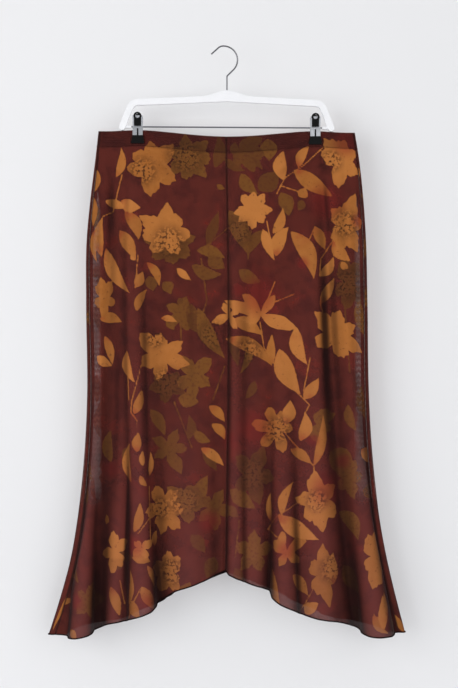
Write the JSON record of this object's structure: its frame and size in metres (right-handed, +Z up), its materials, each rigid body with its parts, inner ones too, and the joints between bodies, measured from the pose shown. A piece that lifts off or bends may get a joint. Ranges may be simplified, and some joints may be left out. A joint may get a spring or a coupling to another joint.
{
  "type": "midi skirt on a clip hanger",
  "caption": "Sheer printed midi skirt with a flared dipped hem and a narrow lining, hung flat by its waist on a plastic hanger with a steel hook and clips.",
  "frame": {"origin": "top of the inside of the hanger's hook, where it hangs on a peg or rail", "axes": "+Z up, +Y from the skirt's front to its back, +X to the viewer's right"},
  "size_m": [0.6252, 0.0944, 1.0331],
  "materials": {
    "printed_mesh": "sheer printed mesh, soft",
    "casing": "doubled mesh, matte",
    "lining": "smooth, low sheen",
    "white_plastic": "satin",
    "steel": "bright",
    "black_plastic": "satin"
  },
  "bodies": {
    "root": {"front_left": "printed_mesh", "front_right": "printed_mesh", "back_left": "printed_mesh", "back_right": "printed_mesh", "casing_front": "casing", "casing_back": "casing", "lining_front": "lining", "lining_back": "lining", "hanger_frame": "white_plastic", "hanger_bar": "steel", "hanger_hook": "steel", "clip_left_spring": "steel", "clip_left_front_leaf": "steel", "clip_left_front_lever": "black_plastic", "clip_left_front_jaw": "black_plastic", "clip_left_back_leaf": "steel", "clip_left_back_lever": "black_plastic", "clip_left_back_jaw": "black_plastic", "clip_right_spring": "steel", "clip_right_front_leaf": "steel", "clip_right_front_lever": "black_plastic", "clip_right_front_jaw": "black_plastic", "clip_right_back_leaf": "steel", "clip_right_back_lever": "black_plastic", "clip_right_back_jaw": "black_plastic"}
  },
  "joints": []
}
